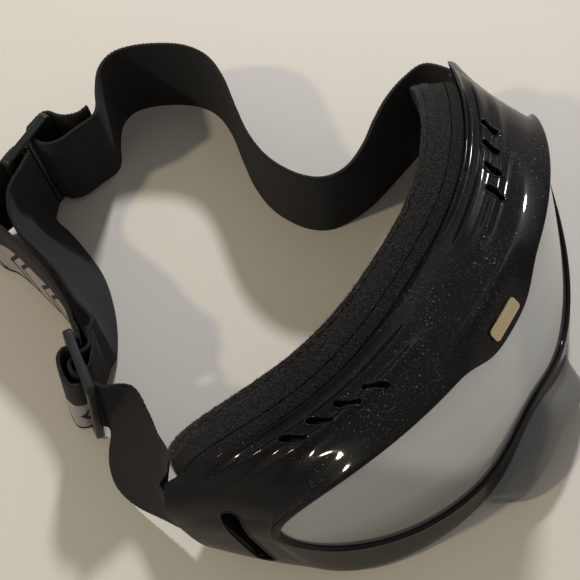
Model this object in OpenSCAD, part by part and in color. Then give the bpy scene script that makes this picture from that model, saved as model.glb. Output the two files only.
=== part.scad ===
// Snow goggles standing brow up, leaned back on the underside of the frame,
// with the elastic head strap standing on its edge behind the mask.
// The mask is drawn upright: x to the side, y towards the face, z towards the brow.
// It is then leaned back onto the table, and the strap is drawn on the table.

/* [Mask] */
// Width of the lens between its visible ends
lens_w = 155; // [146:1:160]
// Radius of the cylinder that the lenses are bent to
lens_r = 104; // [100:1:125]
// Height of the lens window over the cheeks
lens_h = 65; // [58:1:70]
// Thickness of the outer lens
lens_t = 1.4; // [1:0.1:2]
// Thickness of the inner lens
inner_lens_t = 0.9; // [0.7:0.1:1.2]
// Air gap between the two lenses
lens_gap = 3.6; // [3:0.1:5]
// Depth of the frame at the brow, from lens front to foam
brow_depth = 31; // [27:1:36]
// How much farther back the temples reach than the brow
temple_depth = 35; // [30:1:40]
// Angle that the mask leans back by on the table
lean = 17.6; // [14:0.2:20]

/* [Face foam] */
// Depth of the face foam at the brow
foam_depth = 11; // [9:0.5:15]
// Width of the foam where it meets the face
foam_face_w = 12; // [10:0.5:15]
// Share of the foam's depth that is firm base
base_share = 0.28; // [0.2:0.01:0.4]
// Share of the foam's depth that is fleece lining
fleece_share = 0.16; // [0.1:0.01:0.2]

/* [Frame details] */
// Width of each vent slot in the brow
vent_w = 2.3; // [2:0.1:3]
// Length of each vent slot in the brow
vent_len = 9; // [8:0.5:11]
// Distance between brow vents
vent_pitch = 7.5; // [7:0.1:8]
// Radius of the bar that holds each strap end
bar_r = 1.3; // [1.2:0.1:1.5]
// Height of the ridges along the brow
ridge = 1.1; // [0.5:0.1:1.6]

/* [Strap and sliders] */
// Width of the strap webbing
strap_w = 40; // [36:1:42]
// Thickness of the strap webbing
strap_t = 1.3; // [1:0.1:1.5]
// Length of a slider along the strap
slider_l = 24; // [22:0.5:26]
// Thickness of a slider
slider_t = 3.2; // [2.6:0.1:3.4]
// Width of a slider's bars
slider_bar = 2.8; // [2.4:0.1:3]

/* [Hidden] */

// Sections round the mask
turns = 120;
// Clearances: lens in its groove, soft parts, strap in a slot
fit = 0.3;
soft_gap = 0.5;
slot_play = 0.6;
// Distance from the lens front line to the middle of the whole object, front to back
mid_y = 102.3;

// Levels in the upright mask
cheek_z = 22;
brow_z = cheek_z + lens_h;
temple_z = cheek_z + 0.615 * lens_h;
lens_hw = lens_w / 2;
stack = lens_t + lens_gap + inner_lens_t;
nose_w = 18;
tab_w = 16;
lens_grip = 2.2;
lens_set = 0.6;

// An outline is [half width, top, bottom, level of its ends, two corner powers, nose rise, tab drop]
// and, where the lower corners differ, their two powers
WINDOW = [lens_hw, brow_z, cheek_z, temple_z, 3.5, 1.85, 10.5, 8];
GROOVE = grow(WINDOW, lens_grip);
SEAT = grow(WINDOW, -0.4);
CREST = [lens_hw + 2.6, brow_z + 3.6, cheek_z - 15, temple_z - 4, 4, 1.92, 15, 0, [7, 3]];
BACK = [lens_hw + 13, brow_z - 0.9, cheek_z - 6.9, temple_z - 8, 7, 3, 24, 0, [7, 3.2]];
BACK_IN = [lens_hw - 7, brow_z - 9.5, cheek_z + 2, temple_z - 8, 4.5, 2.2, 21, 0];
FOAM_FRONT = [lens_hw + 3.1, brow_z - 1.3, cheek_z - 6.6, temple_z - 8, 9, 3.4, 23.6, 0];
FOAM_FRONT_IN = [lens_hw - 6.5, brow_z - 10, cheek_z + 2.8, temple_z - 8, 4.5, 2.2, 21, 0];
FACE = [lens_hw - 1.2, brow_z + 4.8, cheek_z - 2, temple_z - 9, 5, 2.2, 22, 0];
FACE_IN = [lens_hw - 3.6 - foam_face_w, brow_z + 4.8 - foam_face_w, cheek_z - 2 + foam_face_w,
    temple_z - 9, 4, 2, 20, 0];

function grow(o, d) = [o[0] + d, o[1] + d, o[2] - d, o[3], o[4], o[5], o[6], o[7]];
function round_corner(p, c) = pow(max(0, 1 - pow(abs(c), p[0])), 1 / p[1]);
// Point [x, z] of an outline at angle v, 90 at the brow and 270 at the nose
function edge(o, v) = let (x = o[0] * cos(v),
    k = round_corner(sin(v) < 0 && len(o) > 8 ? o[8] : [o[4], o[5]], cos(v)))
    [x, sin(v) >= 0 ? o[3] + (o[1] - o[3]) * k - o[7] * exp(-pow(x / tab_w, 4)) * k
        : o[3] - (o[3] - o[2]) * k + o[6] * exp(-pow(x / nose_w, 2)) * k];
// A point at depth d behind the front of the bent lens
function on_lens(p, d) = let (a = asin(p[0] / lens_r))
    [(lens_r - d) * sin(a), lens_r - (lens_r - d) * cos(a), p[1]];
function back_y(x) = brow_depth + temple_depth * pow(min(abs(x), lens_hw + 6.1) / (lens_hw + 5.1), 2.6);
function face_y(x) = brow_depth + foam_depth
    + (temple_depth - 1.6) * pow(min(abs(x), lens_hw - 3.5) / (lens_hw - 6), 2.6);
function at_back(p, d = 0) = [p[0], back_y(p[0]) + d, p[1]];
function at_face(p) = [p[0], face_y(p[0]), p[1]];
function mix(a, b, f) = a + (b - a) * f;
function ramp(a, b, x) = let (f = min(1, max(0, (x - a) / (b - a)))) f * f * (3 - 2 * f);

// Leans a point of the upright mask back onto the table
function leaned(p) = [p[0], cos(lean) * p[1] + sin(lean) * p[2], cos(lean) * p[2] - sin(lean) * p[1]];

module on_table() translate([0, -mid_y, 0]) children();
module mask() on_table() rotate([-lean, 0, 0]) children();

// Closed ring through sections that all have the same number of points
module ring(sections) {
    n = len(sections);
    m = len(sections[0]);
    polyhedron([for (s = sections) each s],
        [for (i = [0:n - 1], j = [0:m - 1]) let (a = i * m + j, b = i * m + (j + 1) % m,
            c = ((i + 1) % n) * m + (j + 1) % m, d = ((i + 1) % n) * m + j)
            each [[a, c, b], [a, d, c]]]);
}

// Open body through sections, closed by a fan at each end
module bar_through(sections) {
    n = len(sections);
    m = len(sections[0]);
    polyhedron([for (s = sections) each s],
        [for (i = [0:n - 2], j = [0:m - 1]) let (a = i * m + j, b = i * m + (j + 1) % m,
            c = (i + 1) * m + (j + 1) % m, d = (i + 1) * m + j)
            each [[a, c, b], [a, d, c]],
         for (j = [1:m - 2]) each [[0, j, j + 1], [(n - 1) * m, (n - 1) * m + j + 1, (n - 1) * m + j]]]);
}

// Frame

// Share of the way from front crest to back edge, and the height of the brow's ridges there
BROW = [[0.14, -0.1], [0.3, -0.2], [0.41, 0.9], [0.54, -0.2], [0.68, 0.8], [0.76, -0.5], [0.88, -0.5], [0.95, 0.9]];
function front_crest(v) = on_lens(edge(CREST, v), 1.2 + 3.6 * ramp(0.3, 0.8, sin(v)));
function frame_skin(v, f, lift) = let (
    crest = front_crest(v),
    back = at_back(edge(BACK, v)),
    p = mix(crest, back, f),
    brow = ramp(0.3, 0.6, sin(v)) * ramp(10, 24, abs(p[0])),
    belly = 4 * f * (1 - f),
    hollow = belly * pow(abs(cos(v)), 3) * mix(-1.6, 1.6, ramp(-0.4, 0.3, sin(v))))
    p + [-sign(cos(v)) * hollow, 0, ridge * lift * brow + 1.4 * belly * pow(max(0, sin(v)), 2)];
function frame_section(v) = [
    on_lens(edge(WINDOW, v), lens_set - fit),
    on_lens(edge(grow(WINDOW, 0.2), v), -0.3),
    on_lens(edge(grow(WINDOW, 1), v), -0.8),
    on_lens(edge(grow(WINDOW, 2.3), v), -0.5),
    front_crest(v),
    for (b = BROW) frame_skin(v, b[0], b[1]),
    at_back(edge(BACK, v)),
    at_back(mix(edge(BACK, v), edge(BACK_IN, v), 0.5)),
    at_back(edge(BACK_IN, v)),
    at_back(edge(BACK_IN, v), -seat_t),
    mix(skin_back(v, 0.9), inner_wall(v, 0.85), stout(v)),
    mix(skin_back(v, 0.55), inner_wall(v, 0.5), stout(v)),
    mix(skin_back(v, 0.22), inner_wall(v, 0.12), stout(v)),
    on_lens(edge(SEAT, v), lens_set + stack + fit + 1.6),
    on_lens(edge(SEAT, v), lens_set + stack + fit),
    on_lens(edge(GROOVE, v), lens_set + stack + fit),
    on_lens(edge(GROOVE, v), lens_set - fit)];
// Back of the frame's wall, which is thin at brow and chin and stout in the wings
wall_t = 2.6;
seat_t = 2.2;
function skin_back(v, f) = frame_skin(v, f, 0) - wall_t * [0.6 * cos(v), 0, sign(sin(v))];
function stout(v) = ramp(0.76, 0.86, abs(cos(v)));
// The inner wall runs from behind the lenses (f = 0) to the inner edge of the foam seat (f = 1)
function inner_wall(v, f) = mix(on_lens(edge(SEAT, v), stack + 4.6), at_back(edge(BACK_IN, v)), f);

// Strap bar in each wing of the frame
bar_x = lens_hw - 2.3;
bar_y = lens_r - sqrt(pow(lens_r, 2) - pow(lens_hw, 2)) + 16.3;
strap_z = 32;
bar_z0 = strap_z - 1.4;
bar_h = strap_w + 2.8;
exit_turn = 29;
// Middle of the webbing round the bar, and in the two layers of the hem
loop_r = bar_r + 0.15 + strap_t / 2;
lap = strap_t / 2 + 0.12;
pocket_r = loop_r + strap_t / 2 + 0.25;
exit_w = 2 * (lap + strap_t / 2) + 1.1;

module slot_shape(l, w, h) {
    translate([-w / 2, -(l - w) / 2, 0]) cube([w, l - w, h]);
    for (s = [-1, 1]) translate([0, s * (l - w) / 2, 0]) cylinder(d = w, h = h, $fn = 24);
}

module brow_vents() {
    for (s = [-1, 1], i = [0:3])
        translate([s * (lens_hw - 20.9 - vent_pitch * i), brow_depth + 4 - 4.7 * i, brow_z - 6])
            rotate([0, 0, -s * 26]) slot_shape(vent_len, vent_w, 14);
}

module chin_vents() {
    for (s = [-1, 1], i = [0:3])
        translate([s * (56 - 7.5 * i), 30 - 2.2 * i, -4])
            rotate([0, 0, s * 14]) slot_shape(11, 3, cheek_z + 2);
}

// Pocket in the wing for the strap's end, its way out to the rear and the slot seen from the side
module wing_cuts() {
    for (s = [-1, 1]) scale([s, 1, 1]) {
        translate([bar_x, bar_y, strap_z - slot_play / 2]) rotate([0, 0, -exit_turn])
            linear_extrude(height = strap_w + slot_play) {
                circle(r = pocket_r, $fn = 48);
                polygon([[-pocket_r, 0], [pocket_r, 0], [pocket_r - 0.2, 3], [exit_w / 2, 8], [exit_w / 2, 36],
                    [-exit_w / 2, 36], [-exit_w / 2, 8], [0.2 - pocket_r, 3]]);
            }
        translate([bar_x, bar_y - 2.1, strap_z + 19]) rotate([-2, 0, 0]) rotate([0, 90, 0])
            rotate([0, 0, 90]) slot_shape(37, 6.2, 16);
        translate([bar_x, bar_y, bar_z0]) cylinder(r = bar_r, h = bar_h, $fn = 32);
    }
}

module frame_shell() {
    color("#141416") mask() difference() {
        ring([for (i = [0:turns - 1]) frame_section(i * 360 / turns)]);
        brow_vents();
        chin_vents();
        wing_cuts();
    }
}

module strap_bar(s) {
    color("#8c8f92") mask() translate([s * bar_x, bar_y, bar_z0]) cylinder(r = bar_r, h = bar_h, $fn = 32);
}

// Lenses

module lens(outline, depth, t) {
    mask() intersection() {
        translate([0, lens_r, 0]) difference() {
            cylinder(r = lens_r - depth, h = brow_z + 20, $fn = 240);
            translate([0, 0, -1]) cylinder(r = lens_r - depth - t, h = brow_z + 22, $fn = 240);
        }
        translate([0, lens_r * 0.7, 0]) rotate([90, 0, 0]) linear_extrude(height = lens_r)
            polygon([for (i = [0:turns - 1]) edge(outline, i * 360 / turns)]);
    }
}

inner_at = lens_set + lens_t + lens_gap;
module outer_lens() color("#a9adb0") lens(lens_plate(lens_set + lens_t), lens_set, lens_t);
module inner_lens() color("#5d6468") lens(lens_plate(inner_at + inner_lens_t), inner_at, inner_lens_t);
// A lens fills the groove, drawn in at its ends because the groove's ends lean inwards
function lens_plate(back) = let (g = grow(GROOVE, -fit))
    [g[0] * (lens_r - back) / lens_r, g[1], g[2], g[3], g[4], g[5], g[6], g[7]];

module lens_spacer() {
    front = lens_set + lens_t + 0.1;
    rear = inner_at - 0.1;
    outside = grow(WINDOW, 1.6);
    inside = grow(WINDOW, -1.6);
    color("#202022") mask() ring([for (i = [0:turns - 1]) let (v = i * 360 / turns)
        [on_lens(edge(outside, v), front), on_lens(edge(outside, v), rear),
         on_lens(edge(inside, v), rear), on_lens(edge(inside, v), front)]]);
}

// Nose skirt

skirt_hw = 29;
skirt_t = 1.8;
function skirt_top(s) = let (x = skirt_hw * s, k = round_corner(CREST[8], x / CREST[0]))
    [x, lens_r - sqrt(pow(lens_r, 2) - x * x) + 0.2,
     CREST[3] - (CREST[3] - CREST[2]) * k + CREST[6] * exp(-pow(x / nose_w, 2)) * k + 1.6];
function skirt_low(s) = [(skirt_hw - 1) * s * (1 - 0.02 * s * s), -8.4 + 4 * s * s + 7.4 * pow(s, 8),
    11.5 - 7.5 * s * s];
function skirt(s, t) = let (a = skirt_top(s), b = skirt_low(s))
    mix(a, b, t) + [0, -1.6 * sin(180 * t) * (1 - pow(s, 4)), 0];

module nose_skirt() {
    rows = 5;
    color("#2b2c2d") mask() bar_through([for (i = [0:28]) let (s = -1 + i / 14)
        [for (j = [0:rows]) skirt(s, j / rows), for (j = [rows:-1:0]) skirt(s, j / rows) + [0, skirt_t, 0.5]]]);
}

// Small plate at the middle of the brow, seated on the tab
badge_w = 13;
badge_h = 4.4;
module badge_plate() {
    tip = on_lens(edge(grow(WINDOW, 2.3), 90), -0.5);
    top = front_crest(90);
    rise = atan2(top[2] - tip[2], top[1] - tip[1]);
    color("#b09a6a") mask() translate(mix(tip, top, 0.34)) rotate([rise, 0, 0])
        translate([-badge_w / 2, -badge_h / 2, 0.15]) badge_blank();
}
module badge_blank() {
    r = 1.2;
    for (x = [r, badge_w - r], y = [r, badge_h - r]) translate([x, y, 0]) cylinder(r = r, h = 0.9, $fn = 24);
    translate([r, 0, 0]) cube([badge_w - 2 * r, badge_h, 0.9]);
    translate([0, r, 0]) cube([badge_w, badge_h - 2 * r, 0.9]);
}

// Face foam in three bonded layers

function foam_section(v, a, b) = let (
    o0 = at_back(edge(FOAM_FRONT, v), soft_gap), o1 = at_face(edge(FACE, v)),
    i0 = at_back(edge(FOAM_FRONT_IN, v), soft_gap), i1 = at_face(edge(FACE_IN, v)),
    puff = function (f) 4 * f * (1 - f) * 0.9,
    out = [cos(v), 0, sin(v)])
    [for (f = [a, (a + b) / 2, b]) mix(o0, o1, f) + out * puff(f),
     for (f = [b, (a + b) / 2, a]) mix(i0, i1, f) - out * puff(f) * 0.6];

module foam_layer(a, b) mask() ring([for (i = [0:turns - 1]) foam_section(i * 360 / turns, a, b)]);
layer_gap = 0.02;
module face_foam_base() color("#1b1b1c") foam_layer(0, base_share);
module face_foam_mid() color("#222223") foam_layer(base_share + layer_gap, 1 - fleece_share);
module face_fleece() color("#2c2c2e") foam_layer(1 - fleece_share + layer_gap, 1);

// Filter foam glued behind the brow and chin vents
module vent_foam(v0, v1, side, front) {
    thick = 2.6;
    steps = 12;
    color("#18181a") mask() bar_through([for (i = [0:steps]) let (v = v0 + (v1 - v0) * i / steps,
        near = [0, 0, side * soft_gap], far = [0, 0, side * (soft_gap + thick)],
        a = skin_back(v, front), b = skin_back(v, (front + 0.84) / 2), c = skin_back(v, 0.84))
        side > 0 ? [a - near, b - near, c - near, c - far, b - far, a - far]
            : [c - near, b - near, a - near, a - far, b - far, c - far]]);
}

// Strap

// A station of the strap is [lower edge, upper edge]; these three make one
function slant(x, y, z, dx, dy) = [[x, y, z], [x + dx, y + dy, z + sqrt(pow(strap_w, 2) - dx * dx - dy * dy)]];
function upright(p, z = 0) = [[p[0], p[1], z], [p[0], p[1], z + strap_w]];
function in_wing(s, along, out) = let (
    x = bar_x + along * sin(exit_turn) + out * cos(exit_turn),
    y = bar_y + along * cos(exit_turn) - out * sin(exit_turn))
    [leaned([s * x, y, strap_z]), leaned([s * x, y, strap_z + strap_w])];

function spline(a, b, c, d, t) = 0.5 * (2 * b + (c - a) * t + (2 * a - 5 * b + 4 * c - d) * t * t
    + (3 * b - a - 3 * c + d) * t * t * t);
function smooth(path, k) = [for (i = [0:len(path) - 2], j = [0:k - 1])
    let (a = path[max(0, i - 1)], b = path[i], c = path[i + 1], d = path[min(len(path) - 1, i + 2)])
    [spline(a[0], b[0], c[0], d[0], j / k), spline(a[1], b[1], c[1], d[1], j / k)],
    path[len(path) - 1]];
function on_floor(p) = [p[0], p[1], max(0, p[2])];
function unit(v) = v / norm(v);
function across(s, i) = let (a = s[max(0, i - 1)], b = s[min(len(s) - 1, i + 1)],
    along = (b[0] + b[1] - a[0] - a[1]) / 2) unit(cross(along, s[i][1] - s[i][0]));

module webbing(path, k = 3) {
    s = smooth(path, k);
    color("#19191b") on_table() bar_through([for (i = [0:len(s) - 1]) let (n = across(s, i) * strap_t / 2)
        [on_floor(s[i][0] - n), on_floor(s[i][0] + n), s[i][1] + n, s[i][1] - n]]);
}

// Turn of a strap end round a wing's bar, from the hem's end to the free strap
function wing_hem(s) = [in_wing(s, 19, -lap), in_wing(s, 13, -lap), in_wing(s, 7, -lap - 0.1),
    in_wing(s, 3, -loop_r * 0.8), for (a = [0:45:180]) in_wing(s, -loop_r * sin(a), -loop_r * cos(a)),
    in_wing(s, 3, loop_r * 0.8), in_wing(s, 7, lap + 0.1), in_wing(s, 13, lap), in_wing(s, 19, lap)];

// Sliders: middle on the table, direction along the strap, and height of the strap in them
slider_h = strap_w + 5;
strap_up = 2.5;
A_AT = [-9.5, 200.4];
A_DIR = 0;
B_AT = [-71, 140];
B_DIR = 56.6;
// Angle that slider B leans inwards by; k is the webbing's share of it
B_LEAN = 9.5;
function by_slider(at, dir, a, b) = at + [a * cos(dir) - b * sin(dir), a * sin(dir) + b * cos(dir)];
function in_a(a, b) = upright(by_slider(A_AT, A_DIR, a, b), strap_up);
function in_b(a, b, k = 1) = let (p = by_slider(B_AT, B_DIR, a, b), d = strap_w * sin(B_LEAN * k))
    slant(p[0], p[1], strap_up + 0.2, d * sin(B_DIR), -d * cos(B_DIR));
// Radius at which webbing turns round a slider's bar, and where the bars are
turn_r = slider_t / 2 + 0.6 + strap_t / 2;
side_bar = slider_l / 2 - slider_bar / 2;

FAR = [each wing_hem(1),
    slant(85, 86, 4.5, 1.5, 11), slant(79, 90, 1, 2, 11.5), slant(70, 92, 0, 1.5, 11),
    slant(60, 93.5, 0, 0.5, 8.5), slant(49, 95.5, 0, 0.5, 4.5), slant(39, 99.3, 0, 0, 1),
    upright([31.5, 105]), upright([28, 114]), upright([28.5, 126]), upright([33, 137]), upright([40, 147]),
    upright([48, 157.5]), upright([52.5, 167]), upright([52.5, 176]), upright([49, 184.5]), upright([43, 193]),
    upright([36.5, 198]), upright([29, 198.2]), upright([21.5, 194]), upright([15.5, 189], 1),
    in_a(20, -13.6), in_a(13.6, -11.6), in_a(6.6, -9.3), in_a(2.9, -6.2), in_a(2, -3.4), in_a(2.4, -0.8),
    in_a(2.9, 1.6), in_a(4.6, 3.4), in_a(7.6, turn_r + 0.5), in_a(side_bar + 0.6, turn_r + 0.2),
    in_a(side_bar + turn_r, 1.4),
    in_a(side_bar + turn_r + 0.6, -2), in_a(15.4, -5.2), in_a(18.6, -8.3), in_a(22.5, -9.4)];

NEAR = [each wing_hem(-1),
    slant(-88, 87, 5, 3.5, 4.5), slant(-89.1, 96, 3, 11, -3), slant(-90, 106, 1, 17, -8),
    slant(-88.4, 115, 0, 18.5, -10.5), slant(-84, 121.5, 0, 18, -11), slant(-78.5, 125.5, 1, 16.5, -6.5),
    in_b(-10.5, -4.5), in_b(-8, -2.3)];

HUMP = [in_b(-7.6, -1.8), in_b(-6.6, 0.6), in_b(-6.6, 2.8), in_b(-4.8, 5.2), in_b(0, 5.9), in_b(4.8, 5.2),
    in_b(6.9, 3), in_b(6.7, 1.2), in_b(6.6, 0), in_b(7.7, -2)];

OUTER = [in_b(8.1, -2.7), in_b(10.5, -3.3), in_b(12.6, -4, 0.94), in_b(15.6, -5, 0.7),
    slant(-52.8, 153.4, 1, 2, 0), slant(-49.9, 160.5, 0, 2.5, 0),
    slant(-47.2, 168.5, 0, 3, 0), slant(-45.4, 176, 0, 3, 0), slant(-43.7, 183.5, 0, 3, 0), slant(-42.6, 189.5, 0, 3, 0),
    slant(-42.2, 194.5, 0, 2.5, 0), slant(-43, 199.5, 0, 2, 0), upright([-42, 204.3]), upright([-38, 207.6], 1),
    upright([-31.5, 208.3], 2), in_a(-16, 5.6), in_a(-11.6, turn_r + 0.5), in_a(-7.6, turn_r + 0.4),
    in_a(-4.4, 2.9), in_a(-3, 1.8), in_a(-2.6, 0.2)];

INNER = [in_a(-2.6, -0.3), in_a(-3, -2.4), slant(-15.3, 196.6, strap_up, -3, 0),
    slant(-17.8, 195.2, 2, -9, 0.6), slant(-18.7, 192.4, 1, -14, 0), slant(-19.1, 189, 0, -16.5, -0.4),
    slant(-21.3, 181.4, 0, -16.4, 2.9), slant(-23.8, 174.5, 0, -15, 5), slant(-26.3, 168.3, 0, -13.6, 6),
    slant(-29.9, 162.4, 0, -11.2, 6.6), slant(-34.4, 156.9, 0, -8.4, 6.4), slant(-39.2, 152, 0, -6, 5.8),
    slant(-44.8, 147.2, 0.5, -3, 4), slant(-50.5, 143.2, 1.5, 0.6, -0.4),
    in_b(11.6, -13.6, 0.3), in_b(8.4, -9.6, 0.57), in_b(4.6, -5.4),
    for (t = [0:45:180]) in_b(turn_r * cos(t), turn_r * sin(t)),
    in_b(-2, -3.1), in_b(0.7, -4.9), in_b(3.4, -6.5), in_b(7, -9.5, 0.74), in_b(10.6, -12.2, 0.18)];

module slider(at, dir, lean = 0) {
    r = 2.2;
    slot_h = strap_w + 1.4;
    slot_l = slider_l / 2 - slider_bar * 1.5;
    color("#1d1d1f") on_table() translate([at[0], at[1], slider_t / 2 * sin(lean)]) rotate([lean, 0, dir])
        rotate([90, 0, 0]) translate([0, 0, -slider_t / 2]) linear_extrude(height = slider_t) difference() {
            union() {
                translate([-slider_l / 2 + r, 0]) square([slider_l - 2 * r, slider_h]);
                translate([-slider_l / 2, r]) square([slider_l, slider_h - 2 * r]);
                for (x = [-1, 1], z = [r, slider_h - r]) translate([x * (slider_l / 2 - r), z])
                    circle(r = r, $fn = 32);
            }
            for (x = [-1, 1]) translate([x * (slot_l + slider_bar) / 2 - slot_l / 2, (slider_h - slot_h) / 2])
                square([slot_l, slot_h]);
        }
}

frame_shell();
outer_lens();
inner_lens();
lens_spacer();
nose_skirt();
badge_plate();
face_foam_base();
face_foam_mid();
face_fleece();
vent_foam(110, 136, 1, 0.25);  // brow_vent_foam_left
vent_foam(44, 70, 1, 0.25);  // brow_vent_foam_right
vent_foam(222, 250, -1, 0.5);  // chin_vent_foam_left
vent_foam(290, 318, -1, 0.5);  // chin_vent_foam_right
strap_bar(-1);  // strap_bar_left
strap_bar(1);  // strap_bar_right
webbing(FAR);  // strap_far
webbing(NEAR);  // strap_near
webbing(HUMP);  // strap_hump
webbing(OUTER);  // strap_outer_layer
webbing(INNER);  // strap_inner_layer
slider(A_AT, A_DIR);  // slider_a
slider(B_AT, B_DIR, B_LEAN);  // slider_b
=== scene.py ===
from math import atan2, cos, pi, radians, sin, sqrt

import bmesh
import bpy
import numpy as np
from mathutils import Matrix, Vector
from mathutils.bvhtree import BVHTree


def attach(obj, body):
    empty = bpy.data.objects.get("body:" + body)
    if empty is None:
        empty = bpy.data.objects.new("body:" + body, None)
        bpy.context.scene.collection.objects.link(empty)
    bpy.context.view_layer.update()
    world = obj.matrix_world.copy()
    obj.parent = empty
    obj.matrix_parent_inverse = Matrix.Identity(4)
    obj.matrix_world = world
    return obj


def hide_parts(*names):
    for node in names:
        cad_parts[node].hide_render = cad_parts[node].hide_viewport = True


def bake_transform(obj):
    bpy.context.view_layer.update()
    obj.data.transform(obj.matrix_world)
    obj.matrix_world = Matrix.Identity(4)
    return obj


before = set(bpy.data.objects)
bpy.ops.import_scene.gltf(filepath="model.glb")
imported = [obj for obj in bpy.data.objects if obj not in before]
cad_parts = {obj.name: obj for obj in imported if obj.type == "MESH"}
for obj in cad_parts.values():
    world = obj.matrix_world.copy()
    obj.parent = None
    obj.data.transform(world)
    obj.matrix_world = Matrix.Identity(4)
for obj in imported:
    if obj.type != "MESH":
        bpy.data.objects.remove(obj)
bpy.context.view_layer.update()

MM = 0.001
rng = np.random.default_rng(7)


def add_object(name, data):
    obj = bpy.data.objects.new(name, data)
    bpy.context.scene.collection.objects.link(obj)
    return obj


def sine(degrees):
    return sin(radians(degrees))


def cosine(degrees):
    return cos(radians(degrees))


# Camera: the photograph's viewing angle, a 64 mm lens on a 36 mm square sensor

AZ, PITCH, ROLL = radians(-49.702), radians(66.830), radians(-8.853)
SENSOR = 36
FOCAL = 1030.54 / 580 * SENSOR
CAMERA_AT = Vector((-0.1092, -0.0943, 0.3458))


def make_camera():
    ahead = Vector((-sin(AZ) * cos(PITCH), cos(AZ) * cos(PITCH), -sin(PITCH)))
    level = Vector((cos(AZ), sin(AZ), 0))
    above = level.cross(ahead)
    right = level * cos(ROLL) + above * sin(ROLL)
    up = -level * sin(ROLL) + above * cos(ROLL)
    data = bpy.data.cameras.new("camera")
    data.lens = FOCAL
    data.sensor_width = SENSOR
    data.sensor_height = SENSOR
    data.sensor_fit = "HORIZONTAL"
    data.clip_start = 0.01
    data.clip_end = 20
    cam = add_object("camera", data)
    turn = Matrix((right, up, -ahead)).transposed().to_4x4()
    turn.translation = CAMERA_AT
    cam.matrix_world = turn
    bpy.context.scene.camera = cam


make_camera()

# Sizes in millimetres, the same as the CAD part's

LENS_W, LENS_R, LENS_H, LENS_T, INNER_T, LENS_GAP = 155.0, 104.0, 65.0, 1.4, 0.9, 3.6
BROW_DEPTH, TEMPLE_DEPTH, WRAP, LEAN = 31.0, 35.0, 2.6, radians(17.6)
FOAM_DEPTH, FOAM_FACE_W, BASE_SHARE, FLEECE_SHARE = 11.0, 12.0, 0.28, 0.16
VENT_W, VENT_LEN, VENT_PITCH, BAR_R, RIDGE = 2.3, 9.0, 7.5, 1.3, 1.1
STRAP_W, STRAP_T, SLIDER_L, SLIDER_T, SLIDER_BAR = 40.0, 1.3, 24.0, 3.2, 2.8
FIT, SOFT_GAP, SLOT_PLAY, MID_Y = 0.3, 0.5, 0.6, 102.3
CHEEK_Z = 22.0
BROW_Z = CHEEK_Z + LENS_H
TEMPLE_Z = CHEEK_Z + 0.615 * LENS_H
HW = LENS_W / 2
STACK = LENS_T + LENS_GAP + INNER_T
NOSE_W, TAB_W, LENS_GRIP, LENS_SET, WALL_T, SEAT_T = 18.0, 16.0, 2.2, 0.6, 2.6, 2.2

# Outlines: half width, top, bottom, height of the widest place, two powers that shape the curve, rise of
# the nose arch, drop of the brow's tab, and the two powers of the lower half where it differs

WINDOW = [HW, BROW_Z, CHEEK_Z, TEMPLE_Z, 3.5, 1.85, 10.5, 8]
CREST = [HW + 2.6, BROW_Z + 3.6, CHEEK_Z - 15, TEMPLE_Z - 4, 4, 1.92, 15, 0, (7, 3)]
BACK = [HW + 13, BROW_Z - 0.9, CHEEK_Z - 6.9, TEMPLE_Z - 8, 7, 3, 24, 0, (7, 3.2)]
BACK_IN = [HW - 7, BROW_Z - 9.5, CHEEK_Z + 2, TEMPLE_Z - 8, 4.5, 2.2, 21, 0]
FOAM_FRONT = [HW + 3.1, BROW_Z - 1.3, CHEEK_Z - 6.6, TEMPLE_Z - 8, 9, 3.4, 23.6, 0]
FOAM_FRONT_IN = [HW - 6.5, BROW_Z - 10, CHEEK_Z + 2.8, TEMPLE_Z - 8, 4.5, 2.2, 21, 0]
FACE = [HW - 1.2, BROW_Z + 4.8, CHEEK_Z - 2, TEMPLE_Z - 9, 5, 2.2, 22, 0]
FACE_IN = [HW - 3.6 - FOAM_FACE_W, BROW_Z + 4.8 - FOAM_FACE_W, CHEEK_Z - 2 + FOAM_FACE_W, TEMPLE_Z - 9,
           4, 2, 20, 0]


def grow(o, d):
    return [o[0] + d, o[1] + d, o[2] - d] + list(o[3:])


def edge(o, v):
    """x and z of an outline at angles v, from the brow at 90 degrees to the nose at 270."""
    c, s = np.cos(v), np.sin(v)
    x = o[0] * c
    k = np.maximum(0, 1 - np.abs(c) ** o[4]) ** (1 / o[5])
    low = k
    if len(o) > 8:
        low = np.maximum(0, 1 - np.abs(c) ** o[8][0]) ** (1 / o[8][1])
    up_z = o[3] + (o[1] - o[3]) * k - o[7] * np.exp(-((x / TAB_W) ** 4)) * k
    low_z = o[3] - (o[3] - o[2]) * low + o[6] * np.exp(-((x / NOSE_W) ** 2)) * low
    return np.stack([x, np.where(s >= 0, up_z, low_z)], -1)


def on_lens(p, d):
    """Outline points on the lens's bend, moved by d straight towards its axis."""
    a = np.arcsin(np.clip(p[..., 0] / LENS_R, -1, 1))
    return np.stack([(LENS_R - d) * np.sin(a), LENS_R - (LENS_R - d) * np.cos(a), p[..., 1]], -1)


def on_radius(p, d):
    """Outline points with their own x on the bent sheet at depth d."""
    r = LENS_R - d
    return np.stack([p[..., 0], LENS_R - np.sqrt(np.maximum(r * r - p[..., 0] ** 2, 0)), p[..., 1]], -1)


def at_back(p, d=0.0):
    """Outline points on the frame's back edge, which wraps round the head, moved back by d."""
    share = np.minimum(np.abs(p[..., 0]), HW + 6.1) / (HW + 5.1)
    y = BROW_DEPTH + TEMPLE_DEPTH * share ** WRAP + d
    return np.stack([p[..., 0], y, p[..., 1]], -1)


def at_face(p):
    """Outline points on the foam's face side."""
    share = np.minimum(np.abs(p[..., 0]), HW - 3.5) / (HW - 6)
    y = BROW_DEPTH + FOAM_DEPTH + (TEMPLE_DEPTH - 1.6) * share ** WRAP
    return np.stack([p[..., 0], y, p[..., 1]], -1)


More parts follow.
